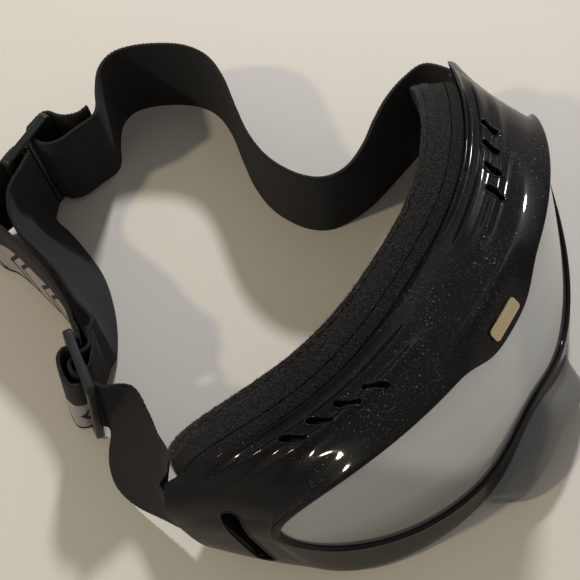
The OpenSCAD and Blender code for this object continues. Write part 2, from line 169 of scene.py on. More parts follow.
def mix(a, b, f):
    f = np.asarray(f)
    return a + (b - a) * (f[..., None] if f.ndim and np.ndim(a) > f.ndim else f)


def ramp(a, b, x):
    f = np.clip((np.asarray(x, float) - a) / (b - a), 0, 1)
    return f * f * (3 - 2 * f)


def leaned(p):
    """Points of the upright mask as it lies on the table."""
    p = np.asarray(p, float)
    c, s = cos(LEAN), sin(LEAN)
    return np.stack([p[..., 0], c * p[..., 1] + s * p[..., 2] - MID_Y, c * p[..., 2] - s * p[..., 1]], -1)


def around(n):
    """Angles round the mask, closer together at its two ends."""
    t = np.arange(n) * 2 * pi / n
    return t - 0.34 * np.sin(2 * t)


def length(p):
    return np.linalg.norm(p, axis=-1, keepdims=True)


def unit(p):
    return p / length(p)


# Mesh helpers


def smooth_faces(mesh):
    mesh.polygons.foreach_set("use_smooth", np.ones(len(mesh.polygons), bool))


def new_object(name, verts, faces, smooth=True, uv=None):
    mesh = bpy.data.meshes.new(name)
    mesh.from_pydata((np.asarray(verts, float) * MM).tolist(), [], faces)
    mesh.validate()
    mesh.update()
    if smooth:
        smooth_faces(mesh)
    if uv is not None:
        layer = mesh.uv_layers.new(name="cloth")
        corner = np.zeros(len(mesh.loops), np.int32)
        mesh.loops.foreach_get("vertex_index", corner)
        layer.data.foreach_set("uv", np.asarray(uv, np.float32)[corner].ravel())
    return add_object(name, mesh)


def ring_faces(n, m, closed=True):
    """Quads over n sections of m points, the last joined to the first where closed."""
    i = np.arange(n if closed else n - 1)[:, None]
    j = np.arange(m)[None, :]
    a = i * m + j
    b = i * m + (j + 1) % m
    c = ((i + 1) % n) * m + (j + 1) % m
    d = ((i + 1) % n) * m + j
    return np.stack(np.broadcast_arrays(a, d, c, b), -1).reshape(-1, 4).tolist()


def capped_faces(n, m):
    """Quads over n sections of m points, and one face over each end."""
    last = (n - 1) * m
    ends = [list(range(m)), [last + i for i in range(m)][::-1]]
    return ring_faces(n, m, closed=False) + ends


def round_profile(p, radius, k=3):
    """Rounds the corners of closed profiles p[section, point, 3] by radius[point], k + 1 points a corner."""
    out = []
    n = p.shape[1]
    for i in range(n):
        r = radius[i]
        q = p[:, i]
        if r <= 0:
            out.append(q)
            continue
        a, b = p[:, i - 1] - q, p[:, (i + 1) % n] - q
        pa = q + a * np.minimum(r / (length(a) + 1e-9), 0.45)
        pb = q + b * np.minimum(r / (length(b) + 1e-9), 0.45)
        for s in range(k + 1):
            t = s / k
            out.append((1 - t) ** 2 * pa + 2 * t * (1 - t) * q + t * t * pb)
    return np.stack(out, 1)


def spline_rows(p, k):
    """Smooth rows through p[section, point, 3], with k steps between neighbours."""
    n = p.shape[1]
    out = []
    for i in range(n - 1):
        a, b, c, d = p[:, max(0, i - 1)], p[:, i], p[:, i + 1], p[:, min(n - 1, i + 2)]
        bend = 2 * a - 5 * b + 4 * c - d
        twist = 3 * b - a - 3 * c + d
        for j in range(k):
            t = j / k
            out.append(0.5 * (2 * b + (c - a) * t + bend * t * t + twist * t ** 3))
    out.append(p[:, -1])
    return np.stack(out, 1)


def outward(obj, weld=0.0):
    bm = bmesh.new()
    bm.from_mesh(obj.data)
    if weld > 0:
        bmesh.ops.remove_doubles(bm, verts=bm.verts, dist=weld)
    bmesh.ops.recalc_face_normals(bm, faces=bm.faces)
    bm.to_mesh(obj.data)
    bm.free()
    return obj


def skin_over(name, p, faces=ring_faces):
    """Object over the sections p[section, point, 3] of the upright mask, leaned as the mask lies."""
    return outward(new_object(name, leaned(p).reshape(-1, 3), faces(*p.shape[:2])))


def joined(parts):
    """The points and faces of several parts as one."""
    verts, faces, base = [], [], 0
    for v, f in parts:
        verts.append(v)
        faces += [[base + i for i in corners] for corners in f]
        base += len(v)
    return np.concatenate(verts), faces


# Frame shell: share of the way from front crest to back edge, and the height of the brow's ridges there

BROW = [(0.14, -0.1), (0.3, -0.2), (0.41, 0.9), (0.54, -0.2),
        (0.68, 0.8), (0.76, -0.5), (0.88, -0.5), (0.95, 0.9)]


def front_crest(v):
    return on_lens(edge(CREST, v), 1.2 + 3.6 * ramp(0.3, 0.8, np.sin(v)))


def frame_skin(v, f, lift):
    """Outer skin at angles v, a share f of the way from the front crest to the back edge."""
    p = mix(front_crest(v), at_back(edge(BACK, v)), f)
    brow = ramp(0.3, 0.6, np.sin(v)) * ramp(10, 24, np.abs(p[..., 0]))
    belly = 4 * f * (1 - f)
    hollow = belly * np.abs(np.cos(v)) ** 3 * (-1.6 + 3.2 * ramp(-0.4, 0.3, np.sin(v)))
    p[..., 0] -= np.sign(np.cos(v)) * hollow
    p[..., 2] += RIDGE * lift * brow + 1.4 * belly * np.maximum(0, np.sin(v)) ** 2
    return p


def inner_wall(v, f):
    return mix(on_lens(edge(grow(WINDOW, -0.4), v), STACK + 4.6), at_back(edge(BACK_IN, v)), f)


def skin_back(v, f):
    """The outer skin moved inwards by the thickness of the wall."""
    p = frame_skin(v, f, 0)
    p[..., 0] -= WALL_T * 0.6 * np.cos(v)
    p[..., 2] -= WALL_T * np.sign(np.sin(v))
    return p


def stout(v):
    """1 in the two wings, which are filled up to the inner wall, and 0 between them."""
    return ramp(0.76, 0.86, np.abs(np.cos(v)))


def frame_section(v):
    """Closed profile of the frame at each angle: lens lip, skin, back edge, inner wall, lens groove."""
    def rim(wide, depth):
        return on_lens(edge(grow(WINDOW, wide), v), depth)

    def inside(skin_share, wall_share):
        return mix(skin_back(v, skin_share), inner_wall(v, wall_share), stout(v))

    ahead, behind = LENS_SET - FIT, LENS_SET + STACK + FIT
    lip = [rim(0, ahead), rim(0.2, -0.3), rim(1, -0.8), rim(2.3, -0.5)]
    skin = [front_crest(v)] + [frame_skin(v, f, lift) for f, lift in BROW] + [at_back(edge(BACK, v))]
    skin = spline_rows(np.stack(lip[2:] + skin, 1), 6)
    rest = [
        at_back(mix(edge(BACK, v), edge(BACK_IN, v), 0.5)),
        at_back(edge(BACK_IN, v)),
        at_back(edge(BACK_IN, v), -SEAT_T),
        inside(0.9, 0.85),
        inside(0.55, 0.5),
        inside(0.22, 0.12),
        rim(-0.4, behind + 1.6),
        rim(-0.4, behind),
        rim(LENS_GRIP, behind),
        rim(LENS_GRIP, ahead),
    ]
    p = np.concatenate([np.stack(lip[:2], 1), skin, np.stack(rest, 1)], 1)
    # corner radii of the lip, none on the skin, then of the back edge, the inner wall and the groove
    radius = [0.25, 0.35] + [0.0] * (skin.shape[1] - 1)
    radius += [0.55, 1.0, 0.5, 0.5, 2.0, 2.0, 1.2, 0.5, 0.3, 0.2, 0.2]
    return round_profile(p, radius)


# Slots in the frame, and the strap bars with the pockets round them

BAR_X, STRAP_Z, EXIT = HW - 2.3, 32.0, radians(29)
BAR_Y = LENS_R - sqrt(LENS_R ** 2 - HW ** 2) + 16.3
LOOP_R = BAR_R + 0.15 + STRAP_T / 2
LAP = STRAP_T / 2 + 0.12
POCKET_R = LOOP_R + STRAP_T / 2 + 0.25
EXIT_W = 2 * (LAP + STRAP_T / 2) + 1.1
SIDE_TILT = radians(-2)
OVER_BROW, UNDER_CHIN, BESIDE_WING = BROW_Z + 12, -8.0, 24.0
BROW_LIP, CHIN_LIP, SIDE_LIP, LIP_OUT, LIP_REACH = 0.42, 0.3, 0.45, 0.4, 0.06


def capsule(long, w, k=12):
    """Outline of a slot of width w, long in y."""
    pts = []
    for s in (1, -1):
        for i in range(k + 1):
            a = pi * i / k + (0 if s > 0 else pi)
            pts.append((w / 2 * cos(a), s * (long - w) / 2 + w / 2 * sin(a)))
    return np.array(pts)


SIDE_SLOT = capsule(37, 6.2, 20)


def turn_z(p, a):
    c, s = cos(a), sin(a)
    return np.stack([c * p[..., 0] - s * p[..., 1], s * p[..., 0] + c * p[..., 1]], -1)


def at_height(outline, z):
    return np.c_[outline, np.full(len(outline), z)]


def prism(outline, low, high, place=np.asarray):
    """Closed prism over a flat outline between two heights; place carries its points to the mask."""
    n = len(outline)
    v = np.concatenate([at_height(outline, low), at_height(outline, high)])
    faces = [[i, (i + 1) % n, n + (i + 1) % n, n + i] for i in range(n)]
    faces += [list(range(n))[::-1], [n + i for i in range(n)]]
    return place(v), faces


def vent_rows(outline, turn, first, step):
    """Four slots on each side, in equal steps from the outermost, seen from above in the upright mask."""
    out = []
    for s in (-1, 1):
        for i in range(4):
            at = [s * (first[0] - step[0] * i), first[1] - step[1] * i]
            out.append(turn_z(outline, s * turn) + at)
    return out


BROW_AT = (HW - 20.9, BROW_DEPTH + 4)
BROW_VENTS = vent_rows(capsule(VENT_LEN, VENT_W), radians(-26), BROW_AT, (VENT_PITCH, 4.7))
CHIN_VENTS = vent_rows(capsule(11, 3), radians(14), (56, 30), (7.5, 2.2))


def side_slot(s):
    """Turns (across, along, depth) of the slot in a wing, beside the strap's middle, into the mask."""
    def place(v):
        c, n = cos(SIDE_TILT), sin(SIDE_TILT)
        y = BAR_Y - 2.1 + c * v[..., 0] - n * v[..., 1]
        z = STRAP_Z + 19 + n * v[..., 0] + c * v[..., 1]
        return np.stack([s * (BAR_X + v[..., 2]), y, z], -1)
    return place


def pocket(s):
    """Pocket round the strap bar in a wing, with its way out to the back."""
    half = EXIT_W / 2
    outline = [(POCKET_R * cosine(a), POCKET_R * sine(a)) for a in range(180, 361, 10)]
    outline += [(POCKET_R - 0.2, 3), (half, 8), (half, 36), (-half, 36), (-half, 8), (0.2 - POCKET_R, 3)]

    def place(v):
        return np.stack([s * (BAR_X + v[..., 0]), BAR_Y + v[..., 1], v[..., 2]], -1)
    low, high = STRAP_Z - SLOT_PLAY / 2, STRAP_Z + STRAP_W + SLOT_PLAY / 2
    return prism(turn_z(np.array(outline), -EXIT), low, high, place)


def cutter(name, parts):
    verts, faces = joined(parts)
    return outward(new_object(name, leaned(verts), faces, smooth=False))


def cut(obj, tools):
    for tool in tools:
        mod = obj.modifiers.new("cut", "BOOLEAN")
        mod.operation = "DIFFERENCE"
        mod.solver = "EXACT"
        mod.object = tool
    whole = obj.data
    finished = obj.evaluated_get(bpy.context.evaluated_depsgraph_get())
    mesh = bpy.data.meshes.new_from_object(finished)
    obj.modifiers.clear()
    obj.data = mesh
    bpy.data.meshes.remove(whole)
    for tool in tools:
        bpy.data.objects.remove(tool)


def bead(centre, radius, sides=8):
    """Points and quads of a closed tube along a loop of centres."""
    ahead = np.roll(centre, -1, 0) - np.roll(centre, 1, 0)
    ahead /= length(ahead) + 1e-12
    out = unit(np.cross(ahead, np.array([0.13, 0.21, 0.97])))
    other = np.cross(ahead, out)
    a = (np.arange(sides) * 2 * pi / sides)[None, :, None]
    v = centre[:, None] + radius * (np.cos(a) * out[:, None] + np.sin(a) * other[:, None])
    return v.reshape(-1, 3), ring_faces(len(centre), sides)


def dense(outline):
    """The outline with points about half a millimetre apart."""
    out = []
    for a, b in zip(outline, np.roll(outline, -1, 0)):
        steps = max(1, int(np.linalg.norm(b - a) / 0.5))
        out += [a + (b - a) * j / steps for j in range(steps)]
    return np.array(out)


def lip_loops():
    """Points outside the mask over each slot's edge, the way to the skin and the lip's radius."""
    up = Vector(leaned([0, 0, 1]) - leaned([0, 0, 0]))
    for outline in BROW_VENTS:
        yield leaned(at_height(dense(outline), OVER_BROW)), -up, BROW_LIP
    for outline in CHIN_VENTS:
        yield leaned(at_height(dense(outline), UNDER_CHIN)), up, CHIN_LIP
    for s in (-1, 1):
        start = side_slot(s)(at_height(dense(SIDE_SLOT), BESIDE_WING))
        yield leaned(start), Vector((-s, 0, 0)), SIDE_LIP


def slot_lips(tree):
    """Rounded lips where the slots meet the skin."""
    parts = []
    for start, way, r in lip_loops():
        way = way.normalized()
        hits = [tree.ray_cast(Vector(p * MM), way, LIP_REACH)[0] for p in start]
        if any(hit is None for hit in hits):
            continue
        parts.append(bead(np.array(hits) / MM + np.array(way) * r * LIP_OUT, r))
    return outward(new_object("frame_lips", *joined(parts)))


def make_frame():
    sections = frame_section(around(600))
    verts = leaned(sections.reshape(-1, 3))
    faces = ring_faces(*sections.shape[:2])
    obj = outward(new_object("frame_body", verts, faces))
    tree = BVHTree.FromPolygons((verts * MM).tolist(), faces)
    slots = [prism(o, BROW_Z - 6, BROW_Z + 8) for o in BROW_VENTS]
    slots += [prism(o, -4, CHEEK_Z - 2) for o in CHIN_VENTS]
    slots += [prism(SIDE_SLOT, 0, 16, side_slot(s)) for s in (-1, 1)]
    cut(obj, [cutter("cut_slots", slots), cutter("cut_pockets", [pocket(s) for s in (-1, 1)])])
    return obj, slot_lips(tree)


# Lenses

RIM_ROUND = 0.35


def lens_piece(name, depth, thick, rings=44, n=480):
    """One bent sheet: rings of points over its front, a rounded rim, and fewer rings over its back."""
    back = depth + thick
    rim = edge(grow(grow(WINDOW, LENS_GRIP), -FIT), around(n))
    rim[:, 0] *= (LENS_R - back) / LENS_R
    centre = np.array([0.0, TEMPLE_Z])
    rows = [centre + (rim - centre) * (0.02 + 0.98 * (i / rings) ** 0.9) for i in range(rings)]
    inset = centre + (rim - centre) * (1 - RIM_ROUND / 60)
    pts = [on_radius(row, depth) for row in rows]
    pts += [on_radius(inset, depth), on_radius(rim, depth + RIM_ROUND * 0.5)]
    pts += [on_radius(rim, back - RIM_ROUND * 0.5), on_radius(inset, back)]
    pts += [on_radius(row, back) for row in rows[::-1][::4]]
    return skin_over(name, np.stack(pts, 0), capped_faces)


# Foam

FOAM_SECTIONS, FOAM_CORNER, PAD_T = 900, 0.28, 2.6
SCATTER = (374761393, 668265263, 2147483647)


def noise3(p, cell, seed):
    """Smooth noise in space, the same on each run: large odd numbers scatter the values of its cells."""
    q = np.asarray(p, float) / cell
    i = np.floor(q).astype(np.int64)
    f = q - i
    f = f * f * (3 - 2 * f)
    out = 0
    for corner in np.ndindex(2, 2, 2):
        h = sum((i[..., k] + corner[k]) * SCATTER[k] for k in range(3)) + seed * 97
        h = (h ^ (h >> 13)) * 1274126177
        h = (h ^ (h >> 16)) & 0xFFFF
        wx, wy, wz = (f[..., k] if corner[k] else 1 - f[..., k] for k in range(3))
        out = out + wx * wy * wz * (h / 65535.0 - 0.5)
    return out


def foam_wall(v, f, inside=False):
    """The face foam's outer or inner wall at angles v, a share f of the way to the face, swelling between."""
    a, b = (FOAM_FRONT_IN, FACE_IN) if inside else (FOAM_FRONT, FACE)
    p = mix(at_back(edge(a, v), SOFT_GAP), at_face(edge(b, v)), f)
    swell = 4 * f * (1 - f) * 0.9
    k = -0.6 if inside else 1.0
    p[..., 0] += np.cos(v) * swell * k
    p[..., 2] += np.sin(v) * swell * k
    return p


def roughen(p, amount, cell, seed):
    """The sections p[section, point, 3] with a fine uneven surface."""
    t = np.roll(p, -1, 0) - np.roll(p, 1, 0)
    u = np.roll(p, -1, 1) - np.roll(p, 1, 1)
    w = np.cross(t, u)
    w /= length(w) + 1e-9
    k = noise3(p, cell, seed) + 0.6 * noise3(p, cell * 0.45, seed + 5)
    return p + w * (k * amount)[..., None]


def foam_piece(name, a, b, rough):
    """A layer of the face foam between the shares a and b of its depth."""
    v = around(FOAM_SECTIONS)
    shares = np.linspace(a, b, max(3, int((b - a) * 22) + 1))
    outer = [foam_wall(v, f) for f in shares]
    inner = [foam_wall(v, f, True) for f in shares[::-1]]
    top = [mix(outer[-1], inner[0], t) for t in np.linspace(0, 1, 14)[1:-1]]
    low = [mix(inner[-1], outer[0], t) for t in np.linspace(0, 1, 10)[1:-1]]
    p = np.stack(outer + top + inner + low, 1)
    radius = [0.0] * p.shape[1]
    inner_at = len(outer) + len(top)
    for i in (0, len(outer) - 1, inner_at, inner_at + len(inner) - 1):
        radius[i] = FOAM_CORNER
    return skin_over(name, roughen(round_profile(p, radius, 2), rough, 1.0, len(name)))


def pile(name, count, long, width):
    """Short fibres standing on the foam's face side and its outer corner."""
    v = rng.uniform(0, 2 * pi, count)
    v = v - 0.3 * np.sin(2 * v)
    f = 1 - 0.34 * rng.random(count) ** 1.6
    t = np.where(rng.random(count) < 0.62, rng.random(count) ** 1.5, 0)
    on_face = f > 0.985
    outer = foam_wall(v, f)
    inner = foam_wall(v, np.ones(count), True)
    base = outer + (inner - outer) * t[:, None] * on_face[:, None]
    back = np.where(t * on_face > 0.02, 0.9, 0.15)
    out = unit(np.stack([np.cos(v), back, np.sin(v)], -1) + rng.normal(0, 0.45, (count, 3)))
    side = width * unit(np.cross(out, rng.normal(0, 1, (count, 3))))
    reach = long * (0.5 + rng.random(count))[:, None]
    bend = rng.normal(0, 0.25, (count, 3)) * reach
    middle = base + out * reach * 0.6
    pts = [base - side - out * 0.15, base + side - out * 0.15, middle + side * 0.6,
           base + out * reach + bend, middle - side * 0.6]
    first = np.arange(count)[:, None] * 5
    faces = (first + [0, 1, 2, 4]).tolist() + (first + [4, 2, 3]).tolist()
    return new_object(name, leaned(np.stack(pts, 1)).reshape(-1, 3), faces, smooth=False)


def vent_foam(name, v0, v1, side, front):
    """Pad of filter foam behind a row of vents, between the angles v0 and v1."""
    v = np.radians(np.linspace(v0, v1, 60))
    top = [skin_back(v, f) - [0, 0, side * SOFT_GAP] for f in np.linspace(front, 0.84, 16)]
    low = [row - [0, 0, side * PAD_T] for row in top[::-1]]
    corners = [0.4] + [0.0] * 14 + [0.4]
    p = round_profile(np.stack(top + low, 1), corners + corners, 2)
    body = roughen(p, 0.22, 0.8, 3)
    body[0], body[-1] = p[0], p[-1]
    return skin_over(name, body, capped_faces)


def spacer():
    """Ring between the two sheets, near the lens edge."""
    v = around(360)
    front, rear = LENS_SET + LENS_T + 0.1, LENS_SET + LENS_T + LENS_GAP - 0.1
    corners = ((1.6, front), (1.6, rear), (-1.6, rear), (-1.6, front))
    p = np.stack([on_lens(edge(grow(WINDOW, wide), v), depth) for wide, depth in corners], 1)
    return skin_over("lens_gasket", round_profile(p, [0.3] * 4, 2))


# Nose skirt and badge plate

SKIRT_HW, SKIRT_T = 29.0, 1.8
BADGE_W, BADGE_H, BADGE_HALF = 13.0, 4.4, 0.45


def skirt(s, t):
    """Front of the skirt, s across it from -1 to 1 and t from the frame to its free edge."""
    x = SKIRT_HW * s
    k = np.maximum(0, 1 - np.abs(x / CREST[0]) ** 7) ** (1 / 3)
    y = LENS_R - np.sqrt(LENS_R ** 2 - x * x) + 0.2
    z = CREST[3] - (CREST[3] - CREST[2]) * k + CREST[6] * np.exp(-((x / NOSE_W) ** 2)) * k + 1.6
    free_x = (SKIRT_HW - 1) * s * (1 - 0.02 * s * s)
    free_y = -8.4 + 4 * s * s + 7.4 * np.abs(s) ** 8
    free_z = 11.5 - 7.5 * s * s
    p = mix(np.stack([x, y, z], -1), np.stack([free_x, free_y, free_z], -1), t)
    p[..., 1] -= 1.6 * sin(pi * t) * (1 - s ** 4)
    return p


def make_skirt():
    even = np.linspace(-1, 1, 121)
    s = np.sin(even * pi / 2) * 0.5 + even * 0.5
    rows = np.linspace(0, 1, 25)
    front = [skirt(s, t) for t in rows]
    back = [skirt(s, t) + [0, SKIRT_T, 0.5] for t in rows[::-1]]
    radius = [0.0] * 24 + [0.7, 0.7] + [0.0] * 24
    return skin_over("nose_skirt_soft", round_profile(np.stack(front + back, 1), radius, 4), capped_faces)


def filled_curve(name, loops, half, bevel, place):
    """Flat plate with holes and rounded edges from closed flat loops, moved point by point by place."""
    curve = bpy.data.curves.new(name, "CURVE")
    curve.dimensions = "2D"
    curve.fill_mode = "BOTH"
    for loop in loops:
        spline = curve.splines.new("POLY")
        spline.points.add(len(loop) - 1)
        spline.points.foreach_set("co", np.c_[loop, np.zeros(len(loop)), np.ones(len(loop))].ravel())
        spline.use_cyclic_u = True
    curve.extrude = half - bevel
    curve.bevel_depth = bevel
    curve.bevel_resolution = 3
    curve.offset = -bevel
    flat = add_object(name + "_flat", curve)
    bpy.context.view_layer.update()
    mesh = bpy.data.meshes.new_from_object(flat.evaluated_get(bpy.context.evaluated_depsgraph_get()))
    bpy.data.objects.remove(flat)
    co = np.zeros(len(mesh.vertices) * 3)
    mesh.vertices.foreach_get("co", co)
    mesh.vertices.foreach_set("co", (place(co.reshape(-1, 3)) * MM).ravel())
    mesh.update()
    obj = outward(add_object(name, mesh), weld=1e-6)
    smooth_faces(mesh)
    mod = obj.modifiers.new("normals", "WEIGHTED_NORMAL")
    mod.keep_sharp = True
    return obj


def rounded_rect(x0, y0, x1, y1, r, k=8):
    corners = ((x1 - r, y1 - r, 0), (x0 + r, y1 - r, 90), (x0 + r, y0 + r, 180), (x1 - r, y0 + r, 270))
    pts = []
    for cx, cy, first in corners:
        for i in range(k + 1):
            a = first + 90 * i / k
            pts.append((cx + r * cosine(a), cy + r * sine(a)))
    return np.array(pts)


def make_badge():
    """Small bare plate on the brow centre, on the slope between the lens lip and the crest."""
    middle = np.array([pi / 2])
    tip = on_lens(edge(grow(WINDOW, 2.3), middle), -0.5)[0]
    top = front_crest(middle)[0]
    rise = atan2(top[2] - tip[2], top[1] - tip[1])
    at = tip + (top - tip) * 0.34
    c, s = cos(rise), sin(rise)

    def place(p):
        x, y, z = p[:, 0], p[:, 1], p[:, 2] + 0.15 + BADGE_HALF
        return leaned(np.stack([at[0] + x, at[1] + c * y - s * z, at[2] + s * y + c * z], -1))
    outline = rounded_rect(-BADGE_W / 2, -BADGE_H / 2, BADGE_W / 2, BADGE_H / 2, 1.2)
    return filled_curve("brow_plate", [outline], BADGE_HALF, 0.18, place)


# Sliders

SLIDER_H, STRAP_UP = STRAP_W + 5, 2.5
A_AT, A_DIR = np.array([-9.5, 200.4]), 0.0
B_AT, B_DIR, B_LEAN = np.array([-71.0, 140.0]), radians(56.6), radians(9.5)
TURN_R = SLIDER_T / 2 + 0.6 + STRAP_T / 2
SIDE_BAR = SLIDER_L / 2 - SLIDER_BAR / 2


def make_slider(name, at, direction, lean=0.0):
    """Frame with a middle bar, standing on the table, turned to a direction and leaning inwards."""
    long, high, bar = SLIDER_L, SLIDER_H, SLIDER_BAR
    slot_l, slot_h = long / 2 - bar * 1.5, STRAP_W + 1.4
    loops = [rounded_rect(-long / 2, 0, long / 2, high, 2.2)]
    for side in (-1, 1):
        x = side * (slot_l + bar) / 2
        hole = rounded_rect(x - slot_l / 2, (high - slot_h) / 2, x + slot_l / 2, (high + slot_h) / 2, 0.9)
        loops.append(hole[::-1])
    c, s = cos(direction), sin(direction)
    cl, sl = cos(lean), sin(lean)

    def place(p):
        # the plate's own y is up, and its own z lies across the strap
        x = p[:, 0]
        y = -cl * p[:, 2] - sl * p[:, 1]
        z = cl * p[:, 1] - sl * p[:, 2] + SLIDER_T / 2 * sl
        return np.stack([at[0] + c * x - s * y, at[1] + s * x + c * y - MID_Y, z], -1)
    return filled_curve(name, loops, SLIDER_T / 2, 0.75, place)


# Strap routes: the webbing's lower and upper edge at each step, in millimetres over the table


def slant(x, y, z, dx, dy):
    return [[x, y, z], [x + dx, y + dy, z + sqrt(STRAP_W ** 2 - dx * dx - dy * dy)]]


def upright(x, y, z=0.0):
    return [[x, y, z], [x, y, z + STRAP_W]]


def in_wing(s, along, out):
    x = BAR_X + along * sin(EXIT) + out * cos(EXIT)
    y = BAR_Y + along * cos(EXIT) - out * sin(EXIT)
    return [(leaned([s * x, y, STRAP_Z + h]) + [0, MID_Y, 0]).tolist() for h in (0, STRAP_W)]


def by_slider(at, turn, along, out):
    x = at[0] + along * cos(turn) - out * sin(turn)
    y = at[1] + along * sin(turn) + out * cos(turn)
    return x, y


def in_a(along, out):
    return upright(*by_slider(A_AT, A_DIR, along, out), STRAP_UP)


def in_b(along, out, share=1.0):
    """A step in the adjusting slider, with a share of the slider's lean."""
    x, y = by_slider(B_AT, B_DIR, along, out)
    d = STRAP_W * sin(B_LEAN * share)
    return slant(x, y, STRAP_UP + 0.2, d * sin(B_DIR), -d * cos(B_DIR))


def wing_hem(s):
    """Both layers of the hem round the strap bar in a wing."""
    ends = [in_wing(s, 19, -LAP), in_wing(s, 13, -LAP), in_wing(s, 7, -LAP - 0.1)]
    loop = [in_wing(s, -LOOP_R * sine(a), -LOOP_R * cosine(a)) for a in range(0, 181, 45)]
    back = [in_wing(s, 7, LAP + 0.1), in_wing(s, 13, LAP), in_wing(s, 19, LAP)]
    return ends + [in_wing(s, 3, -LOOP_R * 0.8)] + loop + [in_wing(s, 3, LOOP_R * 0.8)] + back


def steps(kind, *places):
    return [kind(*place) for place in places]


FAR = [*wing_hem(1),
    *steps(slant, (85, 86, 4.5, 1.5, 11), (79, 90, 1, 2, 11.5), (70, 92, 0, 1.5, 11), (60, 93.5, 0, 0.5, 8.5),
        (49, 95.5, 0, 0.5, 4.5), (39, 99.3, 0, 0, 1)),
    *steps(upright, (31.5, 105), (28, 114), (28.5, 126), (33, 137), (40, 147), (48, 157.5), (52.5, 167),
        (52.5, 176), (49, 184.5), (43, 193), (36.5, 198), (29, 198.2), (21.5, 194), (15.5, 189, 1)),
    *steps(in_a, (20, -13.6), (13.6, -11.6), (6.6, -9.3), (2.9, -6.2), (2, -3.4), (2.4, -0.8), (2.9, 1.6),
        (4.6, 3.4), (7.6, TURN_R + 0.5), (SIDE_BAR + 0.6, TURN_R + 0.2), (SIDE_BAR + TURN_R, 1.4),
        (SIDE_BAR + TURN_R + 0.6, -2), (15.4, -5.2), (18.6, -8.3), (22.5, -9.4))]
NEAR = [*wing_hem(-1),
    *steps(slant, (-88, 87, 5, 3.5, 4.5), (-89.1, 96, 3, 11, -3), (-90, 106, 1, 17, -8),
        (-88.4, 115, 0, 18.5, -10.5), (-84, 121.5, 0, 18, -11), (-78.5, 125.5, 1, 16.5, -6.5)),
    in_b(-10.5, -4.5), in_b(-8, -2.3)]
HUMP = steps(in_b, (-7.6, -1.8), (-6.6, 0.6), (-6.6, 2.8), (-4.8, 5.2), (0, 5.9), (4.8, 5.2), (6.9, 3),
    (6.7, 1.2), (6.6, 0), (7.7, -2))
OUTER = [*steps(in_b, (8.1, -2.7), (10.5, -3.3), (12.6, -4, 0.94), (15.6, -5, 0.7)),
    *steps(slant, (-52.8, 153.4, 1, 2, 0), (-49.9, 160.5, 0, 2.5, 0), (-47.2, 168.5, 0, 3, 0),
        (-45.4, 176, 0, 3, 0), (-43.7, 183.5, 0, 3, 0), (-42.6, 189.5, 0, 3, 0), (-42.2, 194.5, 0, 2.5, 0),
        (-43, 199.5, 0, 2, 0)),
    *steps(upright, (-42, 204.3), (-38, 207.6, 1), (-31.5, 208.3, 2)),
    *steps(in_a, (-16, 5.6), (-11.6, TURN_R + 0.5), (-7.6, TURN_R + 0.4), (-4.4, 2.9), (-3, 1.8)),
    in_a(-2.6, 0.2)]
INNER = [in_a(-2.6, -0.3), in_a(-3, -2.4),
    *steps(slant, (-15.3, 196.6, STRAP_UP, -3, 0), (-17.8, 195.2, 2, -9, 0.6), (-18.7, 192.4, 1, -14, 0),
        (-19.1, 189, 0, -16.5, -0.4), (-21.3, 181.4, 0, -16.4, 2.9), (-23.8, 174.5, 0, -15, 5),
        (-26.3, 168.3, 0, -13.6, 6), (-29.9, 162.4, 0, -11.2, 6.6), (-34.4, 156.9, 0, -8.4, 6.4),
        (-39.2, 152, 0, -6, 5.8), (-44.8, 147.2, 0.5, -3, 4), (-50.5, 143.2, 1.5, 0.6, -0.4)),
    *steps(in_b, (11.6, -13.6, 0.3), (8.4, -9.6, 0.57), (4.6, -5.4)),
    *[in_b(TURN_R * cosine(t), TURN_R * sine(t)) for t in range(0, 181, 45)],
    *steps(in_b, (-2, -3.1), (0.7, -4.9), (3.4, -6.5), (7, -9.5, 0.74), (10.6, -12.2, 0.18))]

# Webbing

WEB_STEP, PICK_STEP, LOOP_H = 0.45, 1.5, 0.2


def resample(s, step):
    """The two edges at even steps along the webbing's middle, and the run up to each step."""
    mid = s.mean(1)
    run = np.r_[0, np.cumsum(np.linalg.norm(np.diff(mid, axis=0), axis=1))]
    n = max(8, int(run[-1] / step))
    at = np.linspace(0, run[-1], n + 1)
    out = np.stack([[np.interp(at, run, s[:, e, k]) for k in range(3)] for e in (0, 1)])
    return out.transpose(2, 0, 1), at


def webbing_profile():
    """Closed profile of the webbing: height over its lower edge, and offset to either face."""
    half, w = STRAP_T / 2, STRAP_W
    heights = np.linspace(1.0, w - 1.0, 23)
    ends = [(w - 0.55, -half), (w - 0.12, -half * 0.72), (w, 0.0), (w - 0.12, half * 0.72), (w - 0.55, half)]
    profile = [(h, -half) for h in heights] + ends
    profile += [(h, half) for h in heights[::-1]] + [(w - h, -t) for h, t in ends]
    return np.array(profile)


